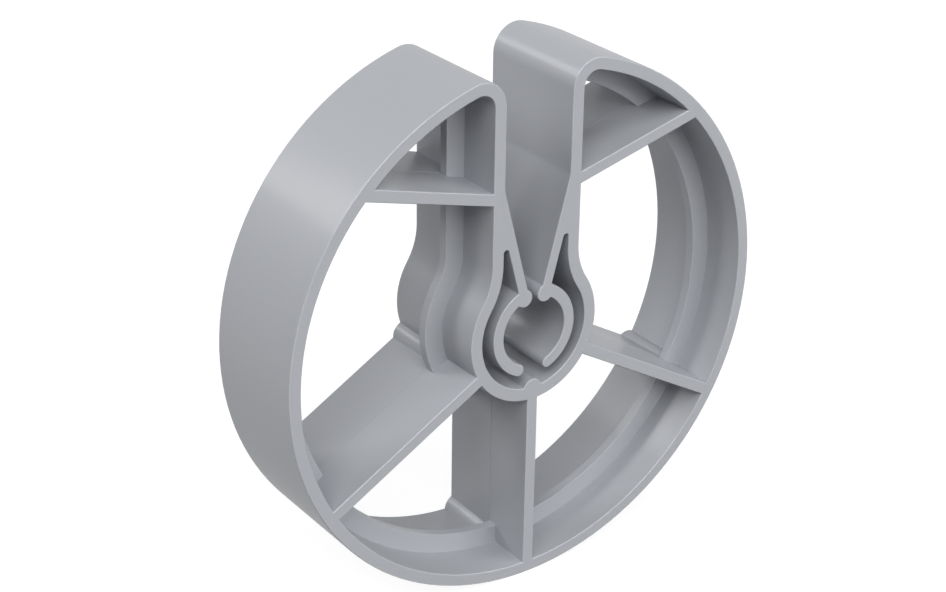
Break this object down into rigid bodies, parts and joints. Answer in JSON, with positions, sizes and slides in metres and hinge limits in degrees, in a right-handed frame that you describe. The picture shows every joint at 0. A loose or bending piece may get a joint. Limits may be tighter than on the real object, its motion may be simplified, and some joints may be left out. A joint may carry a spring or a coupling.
{
  "type": "rebar spacer wheel",
  "caption": "Round moulded plastic spacer wheel that clips onto a reinforcing bar through a slot in its rim and keeps the bar clear of the formwork.",
  "frame": {"origin": "on the wheel's axis, at the centre of the bar's seat and halfway through the width", "axes": "+Z from the seat up through the slot's mouth; +Y along the axis, away from the face seen in the picture; +X to the right as seen from that face"},
  "size_m": [0.06, 0.0142, 0.059],
  "materials": {
    "plastic": "light grey moulded polyolefin, satin"
  },
  "bodies": {
    "root": {"spacer_wheel": "plastic"}
  },
  "joints": []
}
